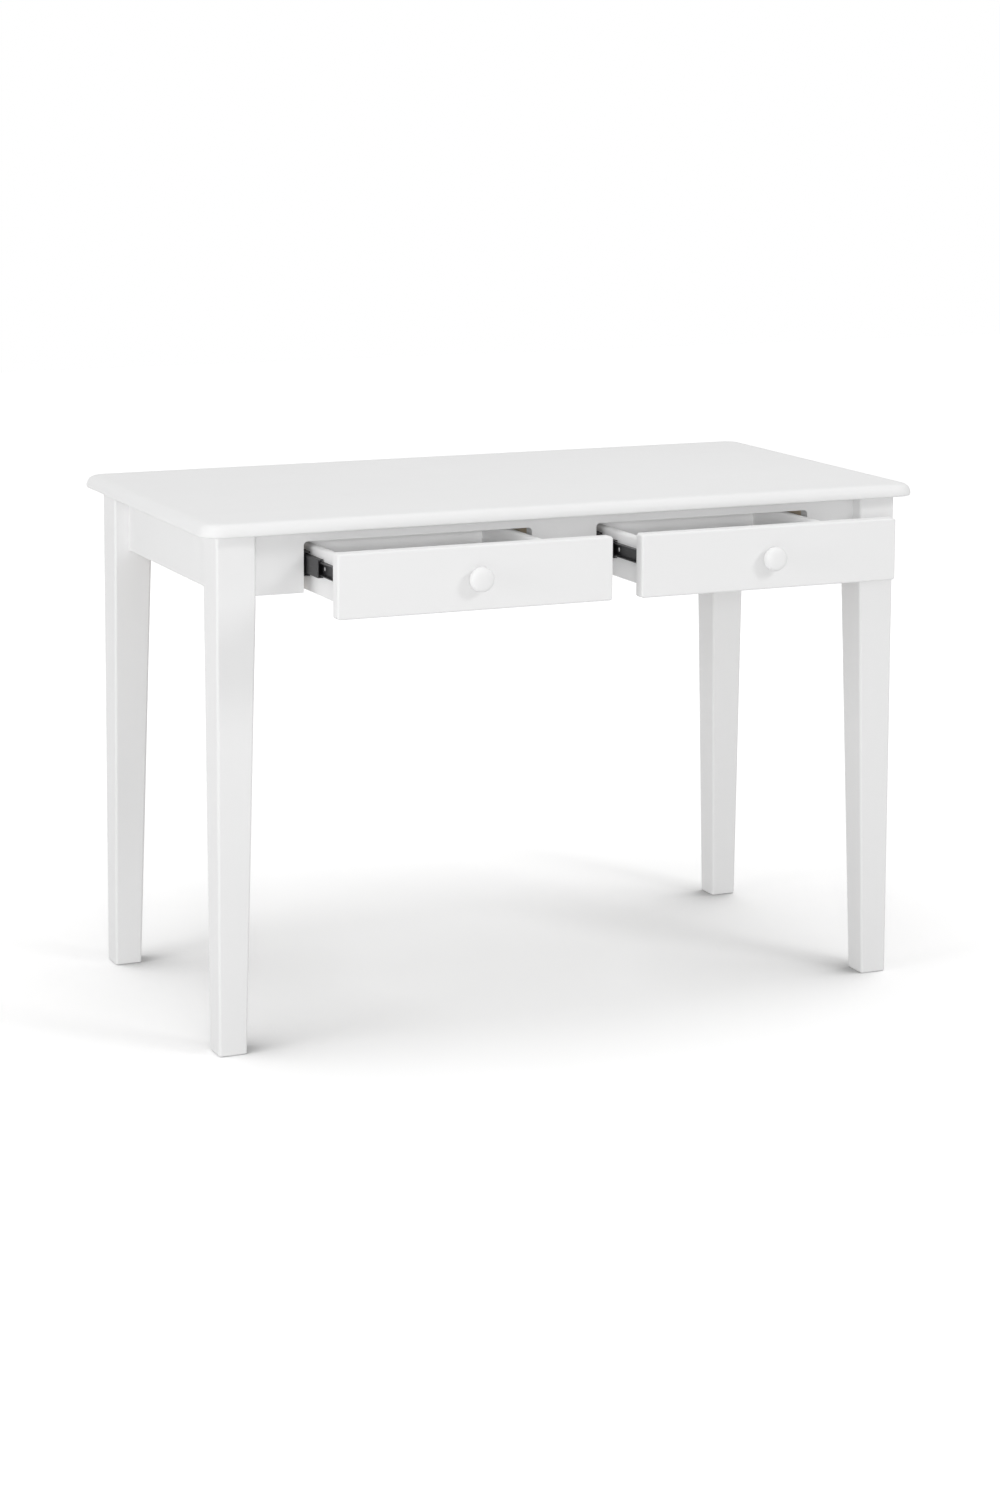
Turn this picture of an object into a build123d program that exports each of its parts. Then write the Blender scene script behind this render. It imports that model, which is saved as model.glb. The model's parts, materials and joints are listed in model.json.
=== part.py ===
from build123d import *
import os

# A white writing desk with two drawers, in millimetres. X runs to the right seen from the
# front, Y to the back and Z up. The drawers stand open as far as in the photo.

# Table top
top_width = 1140.0
top_depth = 588.0
desk_height = 765.0
top_thickness = 19.0
top_edge_flat = 1.5
top_lower_round = 3.0
top_corner_round = 30.0
top_overhang = 26.0

# Legs and aprons
leg_top = 59.0
leg_foot = 42.0
leg_edge_round = 4.0
foot_ease = 1.5
leg_seat_cut = 16.0
taper_gap = 6.0
apron_height = 92.0
apron_recess = 23.0
apron_thickness = 19.0
apron_edge_round = 2.0

# Openings in the front apron
notch_gap = 104.0
notch_end_gap = 79.0
notch_top_gap = 19.0
notch_corner = 6.0

# Runner rails behind the front apron
rail_thickness = 22.0
rail_height = 62.0
rail_top_gap = 18.0

# Corner blocks and their bolts
block_reach = 36.0
block_height = 60.0
block_top_gap = 8.0
bolt_diameter = 8.0
bolt_hole = 9.0
bolt_in_leg = 42.0
bolt_length = 92.0
washer_diameter = 22.0
washer_thickness = 2.0
nut_width = 13.0
nut_height = 6.5

# Dowels
dowel_diameter = 8.0
dowel_length = 30.0
dowel_in_apron = 12.0
dowel_spacing = 44.0
wood_fit = 0.1

# Brackets that hold the table top
bracket_width = 20.0
bracket_leg = 18.0
bracket_thickness = 2.0
bracket_screw_at = 11.0

# Screws
screw_diameter = 3.5
screw_length = 14.0
screw_head_diameter = 6.8
screw_head_height = 1.5
screw_hole = 4.2

# Drawer slides
slide_gap = 12.7
slide_length = 305.0
slide_height = 35.0
slide_sheet = 1.2
slide_drop = 51.0
slide_set_back = 2.0
cabinet_flange = 10.4
cabinet_lip = 1.3
middle_height = 26.0
middle_start = 3.4
middle_end = 11.0
middle_length = 250.0
middle_set_back = 46.0
inner_height = 19.0
inner_flange = 7.0
strip_gap = 0.3
strip_round = 1.0
outer_strip_start = 98.0
outer_strip_length = 100.0
outer_strip_x = (3.8, 8.8)
inner_strip_start = 130.0
inner_strip_length = 90.0
inner_strip_x = (6.2, 10.6)
slide_screw_ends = 54.0
slide_access_hole = 7.0
slide_access_at = 138.0
slide_screw_length = 10.0

# Drawers
drawer_open = 192.0
front_overlap = 29.5
front_top_gap = 4.0
front_height = 91.0
front_thickness = 18.0
front_corner = 4.0
front_edge_round = 3.0
side_thickness = 12.0
side_height = 67.0
side_round = 4.5
side_housing = 4.0
box_depth = 330.0
panel_thickness = 5.0
panel_groove = 5.0
panel_up = 8.0
panel_fit = 0.2
front_screw_length = 22.0
knob_diameter = 35.0
knob_length = 22.0
knob_foot = 17.0
knob_neck = 13.0
knob_foot_height = 2.0
knob_neck_at = 5.2
knob_widest = 13.0
knob_screw_diameter = 4.0
knob_screw_hole = 4.6
knob_screw_bite = 14.0
knob_screw_head = 9.0
knob_screw_head_height = 2.6

# Derived places, measured from the middle of the desk
under_top = desk_height - top_thickness
top_edge_round = top_thickness - top_lower_round - top_edge_flat
apron_bottom = under_top - apron_height
notch_top = under_top - notch_top_gap
slide_centre = under_top - slide_drop
leg_x = top_width / 2 - top_overhang
leg_y = top_depth / 2 - top_overhang
leg_in_x = leg_x - leg_top
leg_in_y = leg_y - leg_top
apron_x = leg_x - apron_recess
apron_y = leg_y - apron_recess
apron_in_x = apron_x - apron_thickness
apron_in_y = apron_y - apron_thickness
notch_width = leg_in_x - notch_gap / 2 - notch_end_gap
drawer_x = (notch_gap + notch_width) / 2
front_width = notch_width + 2 * front_overlap
box_width = notch_width - 2 * slide_gap
side_bottom = apron_bottom
side_top = side_bottom + side_height
front_top = under_top - front_top_gap
front_middle = front_top - front_height / 2
front_back_y = -apron_y
slide_front_y = -apron_y + slide_set_back
rail_top = under_top - rail_top_gap
block_top = under_top - block_top_gap
block_middle = block_top - block_height / 2
panel_bottom = side_bottom + panel_up
knob_tip_y = -apron_y - front_thickness - knob_length - drawer_open
desk_middle_y = -(knob_tip_y + top_depth / 2) / 2


def span(x0, x1, y0, y1, z0, z1):
    """A box between two corners."""
    size = Box(abs(x1 - x0), abs(y1 - y0), abs(z1 - z0))
    return Pos((x0 + x1) / 2, (y0 + y1) / 2, (z0 + z1) / 2) * size


def rod(diameter, start, direction, length):
    """A round bar from a start point along a direction."""
    plane = Plane(origin=start, z_dir=direction)
    return extrude(plane * Circle(diameter / 2), length)


def cut(shape, tools):
    """The shape with every tool taken away."""
    for tool in tools:
        shape = shape - tool
    return shape


def mirror_x(shape):
    """The shape on the other side of the desk."""
    return mirror(shape, about=Plane.YZ)


def save(name, shape):
    """One file for one node, in the frame whose origin is under the middle of the box."""
    solids = [Pos(0, desk_middle_y, 0) * s for s in shape.solids()]
    export_step(solids[0] if len(solids) == 1 else Compound(children=solids), f"parts/{name}.step")


def group(shapes):
    """Separate solids kept together for one node."""
    return Compound(children=[s for shape in shapes for s in shape.solids()])


# Where the fasteners sit

def apron_dowels():
    """Start, direction and depth in the apron of every dowel between an apron and a leg."""
    places = []
    middle = (apron_bottom + under_top) / 2
    for side in (-1, 1):
        for end in (-1, 1):
            for up in (-1, 1):
                z = middle + up * dowel_spacing / 2
                mid_x = apron_x - apron_thickness / 2
                mid_y = apron_y - apron_thickness / 2
                places.append(((side * leg_in_x, end * mid_y, z), (side, 0, 0)))
                places.append(((side * mid_x, end * leg_in_y, z), (0, end, 0)))
    return places


def rail_dowels():
    """Start and direction of the dowels between the rails and the front and rear aprons."""
    places = []
    middle = rail_top - rail_height / 2
    for side in (-1, 1):
        for edge in (notch_gap / 2 - rail_thickness / 2, notch_gap / 2 + notch_width + rail_thickness / 2):
            for end in (-1, 1):
                places.append(((side * edge, end * apron_in_y, middle), (0, end, 0)))
    return places


def dowel(place, extra):
    """One dowel, or the hole for it when extra is more than nothing."""
    start, way = place
    back = dowel_length - dowel_in_apron + extra
    origin = tuple(s - w * back for s, w in zip(start, way))
    return rod(dowel_diameter + 2 * extra, origin, way, dowel_length + 2 * extra)


def bracket_places():
    """Middle point on an apron's inner face and the direction into the desk."""
    return [
        ((0, -apron_in_y), (0, 1)),
        ((-drawer_x, apron_in_y), (0, -1)),
        ((drawer_x, apron_in_y), (0, -1)),
        ((-apron_in_x, 0), (1, 0)),
        ((apron_in_x, 0), (-1, 0)),
    ]


def bracket_screw_places():
    """Head seat and direction of the two screws of every bracket."""
    places = []
    for (x, y), (dx, dy) in bracket_places():
        seat_z = under_top - bracket_thickness
        out = bracket_screw_at
        places.append(((x + dx * out, y + dy * out, seat_z), (0, 0, 1)))
        seat = (x + dx * bracket_thickness, y + dy * bracket_thickness, under_top - bracket_screw_at)
        places.append((seat, (-dx, -dy, 0)))
    return places


def screw(place, length):
    """A pan screw whose head sits on a seat."""
    seat, way = place
    head_start = tuple(s - w * screw_head_height for s, w in zip(seat, way))
    head = rod(screw_head_diameter, head_start, way, screw_head_height)
    top_edge = head.edges().sort_by(Axis(seat, way))[0]
    head = fillet(top_edge, screw_head_height * 0.6)
    return head + rod(screw_diameter, seat, way, length)


def pilot(place, length):
    """The hole a screw leaves in wood."""
    seat, way = place
    return rod(screw_diameter + 2 * wood_fit, seat, way, length + wood_fit)


# Frame pieces

def table_top():
    """The board with its moulded edge."""
    plan = RectangleRounded(top_width, top_depth, top_corner_round)
    board = Pos(0, 0, under_top) * extrude(plan, top_thickness)
    upper = board.edges().group_by(Axis.Z)[-1]
    board = fillet(upper, top_edge_round)
    lower = board.edges().group_by(Axis.Z)[0]
    board = fillet(lower, top_lower_round)
    holes = [pilot(p, screw_length) for p in bracket_screw_places() if p[1][2] == 1]
    return cut(board, holes)


def leg_section(size):
    """The leg's square section with its outer corner kept in place."""
    shift = Pos(leg_x - size / 2, leg_y - size / 2)
    return shift * RectangleRounded(size, size, leg_edge_round)


def hanger_axis():
    """Start and direction of the rear right hanger bolt, on the leg's cut corner."""
    seat = leg_seat_cut / 2
    way = 0.5 ** 0.5
    return (leg_in_x + seat, leg_in_y + seat, block_middle), (-way, -way, 0)


def leg():
    """The rear right leg, tapered on its two inner faces."""
    taper_top = apron_bottom - taper_gap
    upper = Pos(0, 0, taper_top) * extrude(leg_section(leg_top), under_top - taper_top)
    lower = loft([leg_section(leg_foot), Pos(0, 0, taper_top) * leg_section(leg_top)])
    body = chamfer((upper + lower).edges().group_by(Axis.Z)[0], foot_ease)
    corner = [
        (leg_in_x - 1, leg_in_y - 1),
        (leg_in_x + leg_seat_cut + 1, leg_in_y - 1),
        (leg_in_x - 1, leg_in_y + leg_seat_cut + 1),
    ]
    corner_cut = extrude(Pos(0, 0, apron_bottom) * make_face(Polyline(*corner, close=True)), leg_top * 2)
    body = body - corner_cut
    start, way = hanger_axis()
    hole = rod(bolt_diameter + 2 * wood_fit, start, tuple(-w for w in way), bolt_in_leg + wood_fit)
    near = [p for p in apron_dowels() if p[0][0] > 0 and p[0][1] > 0]
    return cut(body, [hole] + [dowel(p, wood_fit) for p in near])


def notched_apron():
    """The front apron with an opening for each drawer, open at the bottom."""
    apron = span(-leg_in_x, leg_in_x, -apron_y, -apron_in_y, apron_bottom, under_top)
    for side in (-1, 1):
        x0 = side * notch_gap / 2
        x1 = x0 + side * notch_width
        hole = span(x0, x1, -apron_y, -apron_in_y, apron_bottom - notch_corner, notch_top)
        corners = hole.edges().filter_by(Axis.Y).group_by(Axis.Z)[-1]
        apron = apron - fillet(corners, notch_corner)
    holes = [dowel(p, wood_fit) for p in apron_dowels() + rail_dowels() if p[0][1] < 0]
    screws = [pilot(p, screw_length) for p in bracket_screw_places() if p[1] == (0, -1, 0)]
    return cut(apron, holes + screws)


def rear_apron():
    """The plain apron at the back."""
    apron = span(-leg_in_x, leg_in_x, apron_in_y, apron_y, apron_bottom, under_top)
    lower = apron.edges().filter_by(Axis.X).group_by(Axis.Z)[0]
    apron = fillet(lower, apron_edge_round)
    holes = [dowel(p, wood_fit) for p in apron_dowels() + rail_dowels() if p[0][1] > 0]
    screws = [pilot(p, screw_length) for p in bracket_screw_places() if p[1] == (0, 1, 0)]
    return cut(apron, holes + screws)


def side_apron():
    """The apron on the right side."""
    apron = span(apron_in_x, apron_x, -leg_in_y, leg_in_y, apron_bottom, under_top)
    lower = apron.edges().filter_by(Axis.Y).group_by(Axis.Z)[0]
    apron = fillet(lower, apron_edge_round)
    holes = [dowel(p, wood_fit) for p in apron_dowels() if p[0][0] > 0]
    screws = [pilot(p, screw_length) for p in bracket_screw_places() if p[1] == (1, 0, 0)]
    return cut(apron, holes + screws)


def runner_rail(x0, x1, screws):
    """A rail from the front apron to the rear apron that carries a slide."""
    rail = span(x0, x1, -apron_in_y, apron_in_y, rail_top - rail_height, rail_top)
    near = [p for p in rail_dowels() if min(x0, x1) < p[0][0] < max(x0, x1)]
    holes = [dowel(p, wood_fit) for p in near]
    return cut(rail, holes + [pilot(p, screw_length) for p in screws])


def corner_block():
    """The rear right block between two aprons, pulled against the leg's cut corner."""
    near_x = leg_in_x + leg_in_y + leg_seat_cut - apron_in_y
    near_y = leg_in_x + leg_in_y + leg_seat_cut - apron_in_x
    outline = [
        (near_x, apron_in_y),
        (apron_in_x, near_y),
        (apron_in_x, near_y - block_reach),
        (near_x - block_reach, apron_in_y),
    ]
    face = Pos(0, 0, block_top - block_height) * make_face(Polyline(*outline, close=True))
    start, way = hanger_axis()
    hole = rod(bolt_hole, start, way, bolt_length)
    return extrude(face, block_height) - hole


def bolt_pieces():
    """Bolt, washer and nut of the rear right corner."""
    start, way = hanger_axis()
    block_depth = block_reach * 0.5 ** 0.5
    back = tuple(s - w * bolt_in_leg for s, w in zip(start, way))
    bolt = rod(bolt_diameter, back, way, bolt_length)
    seat = tuple(s + w * block_depth for s, w in zip(start, way))
    washer = rod(washer_diameter, seat, way, washer_thickness)
    washer = washer - rod(bolt_hole, seat, way, washer_thickness)
    above = tuple(s + w * washer_thickness for s, w in zip(seat, way))
    plane = Plane(origin=above, z_dir=way)
    nut = extrude(plane * RegularPolygon(nut_width / 2, 6, major_radius=False), nut_height)
    nut = nut - rod(bolt_diameter + 2 * wood_fit, above, way, nut_height)
    return bolt, washer, nut


def four_corners(shape):
    """The rear right piece and its three mirror images, named by corner."""
    front = mirror(shape, about=Plane.XZ)
    return {
        "front_left": mirror_x(front),
        "front_right": front,
        "rear_left": mirror_x(shape),
        "rear_right": shape,
    }


def bracket(place):
    """One bent bracket under the table top."""
    (x, y), (dx, dy) = place
    side_x, side_y = abs(dy) * bracket_width / 2, abs(dx) * bracket_width / 2
    low = under_top - bracket_leg
    reach_x, reach_y = dx * bracket_leg, dy * bracket_leg
    thick_x, thick_y = dx * bracket_thickness, dy * bracket_thickness
    upright = span(x - side_x, x + side_x + thick_x, y - side_y, y + side_y + thick_y, low, under_top)
    flat_low = under_top - bracket_thickness
    flat = span(x - side_x, x + side_x + reach_x, y - side_y, y + side_y + reach_y, flat_low, under_top)
    return upright + flat


def brackets():
    """All brackets, with their screw holes."""
    places = bracket_screw_places()
    made = []
    for i, place in enumerate(bracket_places()):
        pair = places[2 * i: 2 * i + 2]
        holes = [rod(screw_hole, seat, way, bracket_thickness) for seat, way in pair]
        made.append(cut(bracket(place), holes))
    return made


# Slide pieces, drawn for a slide whose cabinet face looks along +X

def channel(x0, x1, height, length, open_to):
    """A sheet channel along Y with its web on one side, lying behind the start plane."""
    outer = span(x0, x1, 0, length, slide_centre - height / 2, slide_centre + height / 2)
    inside = height / 2 - slide_sheet
    web = slide_sheet * open_to
    start = x0 + web if open_to > 0 else x0
    end = x1 if open_to > 0 else x1 + web
    return outer - span(start, end, 0, length, slide_centre - inside, slide_centre + inside)


def slide_screw_y():
    """Where a slide's two screws sit, measured from its front end."""
    return (slide_screw_ends, slide_length - slide_screw_ends)


def cabinet_member():
    """The outer channel that is screwed to a rail."""
    body = channel(0, cabinet_flange, slide_height, slide_length, 1)
    inside = slide_height / 2 - slide_sheet
    lip_x = cabinet_flange - slide_sheet
    for up in (-1, 1):
        z = slide_centre + up * inside
        body = body + span(lip_x, cabinet_flange, 0, slide_length, z, z - up * cabinet_lip)
    holes = [rod(screw_hole, (0, y, slide_centre), (1, 0, 0), slide_sheet) for y in slide_screw_y()]
    return cut(body, holes)


def middle_member():
    """The channel that runs between the cabinet and drawer members."""
    return channel(middle_start, middle_end, middle_height, middle_length, 1)


def drawer_member():
    """The inner channel that is screwed to a drawer side."""
    body = channel(slide_gap - inner_flange, slide_gap, inner_height, slide_length, -1)
    start = slide_gap - slide_sheet
    holes = [rod(screw_hole, (start, y, slide_centre), (1, 0, 0), slide_sheet) for y in slide_screw_y()]
    holes.append(rod(slide_access_hole, (start, slide_access_at, slide_centre), (1, 0, 0), slide_sheet))
    return cut(body, holes)


def outer_strips():
    """The two strips that hold the ball rows between the cabinet and middle members."""
    low, high = middle_height / 2 + strip_gap, slide_height / 2 - slide_sheet - strip_gap
    return race_strips(outer_strip_x, outer_strip_length, low, high)


def inner_strips():
    """The two strips that hold the ball rows between the middle and drawer members."""
    low, high = inner_height / 2 + strip_gap, middle_height / 2 - slide_sheet - strip_gap
    return race_strips(inner_strip_x, inner_strip_length, low, high)


def race_strips(across, length, low, high):
    """An upper and a lower strip with rounded ends in the race between two channels."""
    strips = []
    for up in (-1, 1):
        strip = span(across[0], across[1], 0, length, slide_centre + up * low, slide_centre + up * high)
        strips.append(fillet(strip.edges().filter_by(Axis.Z), strip_round))
    return strips


def slide_screws():
    """Head seat and direction of a slide's screws: into the rail, then into the drawer."""
    rail = [((slide_sheet, y, slide_centre), (-1, 0, 0)) for y in slide_screw_y()]
    drawer = [((slide_gap - slide_sheet, y, slide_centre), (1, 0, 0)) for y in slide_screw_y()]
    return rail, drawer


def at_slide(shape, x, turned, y):
    """A slide piece on a rail face, turned for the slides that look along -X."""
    if turned:
        shape = mirror_x(shape)
    return Pos(x, y, 0) * shape


def place_at_slide(place, x, turned, y):
    """The same move for a screw's seat and direction."""
    (px, py, pz), (wx, wy, wz) = place
    flip = -1 if turned else 1
    return (x + flip * px, y + py, pz), (flip * wx, wy, wz)


# Drawer pieces, drawn closed with the drawer's middle at X = 0

def drawer_front():
    """The slab that covers an opening, with the knob screw's hole."""
    face = Plane.XZ * RectangleRounded(front_width, front_height, front_corner)
    slab = Pos(0, front_back_y, front_middle) * extrude(face, front_thickness)
    edges = slab.edges().group_by(Axis.Y)[0]
    slab = fillet(edges, front_edge_round)
    holes = [rod(knob_screw_hole, (0, front_back_y, front_middle), (0, -1, 0), front_thickness)]
    holes += [pilot(p, front_screw_length) for p in front_screw_places()]
    return cut(slab, holes)


def box_rear_y():
    """The rear face of the drawer box."""
    return front_back_y + box_depth


def panel_cut():
    """The space the bottom panel needs in the pieces around it."""
    half = box_width / 2 - side_thickness + panel_groove + panel_fit
    z0, z1 = panel_bottom - panel_fit, panel_bottom + panel_thickness + panel_fit
    start = front_back_y + side_thickness - panel_groove - panel_fit
    return span(-half, half, start, box_rear_y() + 1, z0, z1)


def board_half():
    """Half the length of the boards that stand in the sides' housings."""
    return box_width / 2 - side_thickness + side_housing


def housing_cuts():
    """The spaces in the sides for the ends of the box's front and rear boards."""
    half = board_half() + wood_fit
    low, high = side_bottom - 1, side_top + 1
    front = span(-half, half, front_back_y - 1, front_back_y + side_thickness + wood_fit, low, high)
    rear = span(-half, half, box_rear_y() - side_thickness - wood_fit, box_rear_y() + 1, low, high)
    return [front, rear]


def drawer_side(side):
    """A box side with a rounded top, the panel's groove, two housings and screw holes."""
    x1 = side * box_width / 2
    x0 = x1 - side * side_thickness
    board = span(x0, x1, front_back_y, box_rear_y(), side_bottom, side_top)
    board = fillet(board.edges().filter_by(Axis.Y).group_by(Axis.Z)[-1], side_round)
    face = x1 + side * slide_gap
    places = [place_at_slide(p, face, side > 0, slide_front_y) for p in slide_screws()[1]]
    holes = [pilot(p, slide_screw_length) for p in places]
    return cut(board, [panel_cut()] + housing_cuts() + holes)


def box_front():
    """The box's own front, behind the slab."""
    half = board_half()
    board = span(-half, half, front_back_y, front_back_y + side_thickness, side_bottom, side_top)
    board = fillet(board.edges().filter_by(Axis.X).group_by(Axis.Z)[-1], side_round)
    seat = (0, front_back_y + side_thickness, front_middle)
    hole = rod(knob_screw_hole, seat, (0, -1, 0), side_thickness)
    holes = [rod(screw_hole, p[0], p[1], side_thickness) for p in front_screw_places()]
    return cut(board, [panel_cut(), hole] + holes)


def box_rear():
    """The box's rear board, which stands on the bottom panel."""
    half = board_half()
    low = panel_bottom + panel_thickness + panel_fit
    board = span(-half, half, box_rear_y() - side_thickness, box_rear_y(), low, side_top)
    return fillet(board.edges().filter_by(Axis.X).group_by(Axis.Z)[-1], side_round)


def bottom_panel():
    """The thin panel in the grooves."""
    half = box_width / 2 - side_thickness + panel_groove
    start = front_back_y + side_thickness - panel_groove
    return span(-half, half, start, box_rear_y(), panel_bottom, panel_bottom + panel_thickness)


def front_screw_places():
    """Head seat and direction of the screws that hold the slab to the box."""
    seat_y = front_back_y + side_thickness
    return [((side * box_width / 3, seat_y, front_middle), (0, -1, 0)) for side in (-1, 1)]


def knob():
    """A round knob with a domed face, turned about the screw's axis."""
    foot = (knob_foot / 2, knob_foot_height)
    neck = (knob_neck / 2, knob_neck_at)
    rim = (knob_diameter / 2, knob_widest)
    with BuildSketch(Plane.XY) as profile:
        with BuildLine():
            Polyline((0, 0), (knob_foot / 2, 0), foot)
            Spline(foot, neck, rim, tangents=[(-1, 1), (0, 1)])
            Spline(rim, (0, knob_length), tangents=[(0, 1), (-1, 0)])
            Line((0, knob_length), (0, 0))
        make_face()
    turned = revolve(profile.sketch, axis=Axis.Y)
    bite = knob_screw_bite + wood_fit
    turned = turned - rod(knob_screw_diameter + 2 * wood_fit, (0, 0, 0), (0, 1, 0), bite)
    placed = Pos(0, front_back_y - front_thickness, front_middle) * (Rot(0, 0, 180) * turned)
    return placed


def knob_screw():
    """The screw from inside the box into the knob."""
    seat_y = front_back_y + side_thickness
    length = side_thickness + front_thickness + knob_screw_bite
    body = rod(knob_screw_diameter, (0, seat_y, front_middle), (0, -1, 0), length)
    head = rod(knob_screw_head, (0, seat_y, front_middle), (0, 1, 0), knob_screw_head_height)
    head = fillet(head.edges().group_by(Axis.Y)[-1], knob_screw_head_height * 0.6)
    return head + body


# Everything in its place

def save_frame():
    """The fixed pieces."""
    save("table_top", table_top())
    for corner, piece in four_corners(leg()).items():
        save(f"leg_{corner}", piece)
    for corner, piece in four_corners(corner_block()).items():
        save(f"corner_block_{corner}", piece)
    save("front_apron", notched_apron())
    save("rear_apron", rear_apron())
    save("side_apron_right", side_apron())
    save("side_apron_left", mirror_x(side_apron()))
    save("apron_dowels", group([dowel(p, 0) for p in apron_dowels() + rail_dowels()]))
    bolt, washer, nut = bolt_pieces()
    save("hanger_bolts", group(four_corners(bolt).values()))
    save("bolt_washers", group(four_corners(washer).values()))
    save("bolt_nuts", group(four_corners(nut).values()))
    save("top_brackets", group(brackets()))
    save("bracket_screws", group([screw(p, screw_length) for p in bracket_screw_places()]))


def slide_faces(name):
    """Rail face, whether the slide is turned, and the rail's far face, for one drawer."""
    middle = -drawer_x if name == "left" else drawer_x
    left, right = middle - notch_width / 2, middle + notch_width / 2
    return {
        "left": (left, False, left - rail_thickness),
        "right": (right, True, right + rail_thickness),
    }


def save_slides(name):
    """The rails, slides and their screws for one drawer; gives the screws in the rails."""
    rail_screws, drawer_screws = slide_screws()
    cabinet, inner, outer_race, inner_race = [], [], [], []
    for hand, (face, turned, far) in slide_faces(name).items():
        places = [place_at_slide(p, face, turned, slide_front_y) for p in rail_screws]
        save(f"{name}_drawer_rail_{hand}", runner_rail(face, far, places))
        save(f"{name}_slide_cabinet_{hand}", at_slide(cabinet_member(), face, turned, slide_front_y))
        middle_y = slide_front_y + middle_set_back - drawer_open / 2
        save(f"{name}_slide_middle_{hand}", at_slide(middle_member(), face, turned, middle_y))
        inner_y = slide_front_y - drawer_open
        save(f"{name}_slide_drawer_{hand}", at_slide(drawer_member(), face, turned, inner_y))
        outer_y = slide_front_y + outer_strip_start - drawer_open / 4
        outer_race += [at_slide(strip, face, turned, outer_y) for strip in outer_strips()]
        race_y = slide_front_y + inner_strip_start - drawer_open * 3 / 4
        inner_race += [at_slide(strip, face, turned, race_y) for strip in inner_strips()]
        cabinet += [screw(p, screw_length) for p in places]
        inner += [screw(place_at_slide(p, face, turned, inner_y), slide_screw_length) for p in drawer_screws]
    save(f"{name}_slide_drawer_screws", group(inner))
    save(f"{name}_slide_outer_retainers", group(outer_race))
    save(f"{name}_slide_inner_retainers", group(inner_race))
    return cabinet


def save_drawer(name):
    """The box, slab and knob of one drawer, pulled out as in the photo."""
    middle = -drawer_x if name == "left" else drawer_x
    move = Pos(middle, -drawer_open, 0)
    save(f"{name}_drawer_front", move * drawer_front())
    save(f"{name}_drawer_side_left", move * drawer_side(-1))
    save(f"{name}_drawer_side_right", move * drawer_side(1))
    save(f"{name}_drawer_box_front", move * box_front())
    save(f"{name}_drawer_rear", move * box_rear())
    save(f"{name}_drawer_bottom", move * bottom_panel())
    save(f"{name}_front_screws", group([move * screw(p, front_screw_length) for p in front_screw_places()]))
    save(f"{name}_knob", move * knob())
    save(f"{name}_knob_screw", move * knob_screw())


if __name__ == "__main__":
    os.makedirs("parts", exist_ok=True)
    save_frame()
    rail_screws = []
    for drawer in ("left", "right"):
        rail_screws += save_slides(drawer)
        save_drawer(drawer)
    save("slide_rail_screws", group(rail_screws))
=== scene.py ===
"""A white writing desk with two drawers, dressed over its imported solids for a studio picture.

The solids give every shape and place. This script adds the finishes, the detailed fasteners,
the camera of the photograph and a plain pale studio.
"""
import json
import logging
import math
from dataclasses import dataclass
from enum import Enum
from typing import Callable, ClassVar, Iterable, Optional, Sequence

import bmesh
import bpy
from mathutils import Matrix, Vector


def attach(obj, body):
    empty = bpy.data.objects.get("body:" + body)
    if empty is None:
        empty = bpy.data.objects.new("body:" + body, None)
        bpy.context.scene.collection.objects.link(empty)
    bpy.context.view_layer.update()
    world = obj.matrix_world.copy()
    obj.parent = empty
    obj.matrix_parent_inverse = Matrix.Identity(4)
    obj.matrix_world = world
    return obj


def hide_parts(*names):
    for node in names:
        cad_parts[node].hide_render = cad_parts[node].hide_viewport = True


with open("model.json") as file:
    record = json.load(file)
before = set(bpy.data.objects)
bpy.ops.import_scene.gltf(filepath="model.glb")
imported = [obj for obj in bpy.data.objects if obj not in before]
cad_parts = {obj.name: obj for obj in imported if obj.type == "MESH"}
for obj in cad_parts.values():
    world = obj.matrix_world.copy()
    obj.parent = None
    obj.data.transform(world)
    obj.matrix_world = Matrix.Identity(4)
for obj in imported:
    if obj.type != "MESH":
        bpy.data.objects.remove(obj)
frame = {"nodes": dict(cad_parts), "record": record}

logging.basicConfig(level=logging.INFO, format="%(name)s: %(message)s")
LOG = logging.getLogger("desk")

MM = 0.001
Point = tuple[float, float, float]


class Grain(Enum):
    """The direction in which a board's grain runs."""

    X = (0.06, 1.0, 1.0)
    Y = (1.0, 0.06, 1.0)
    Z = (1.0, 1.0, 0.06)


# Shader helpers


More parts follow.
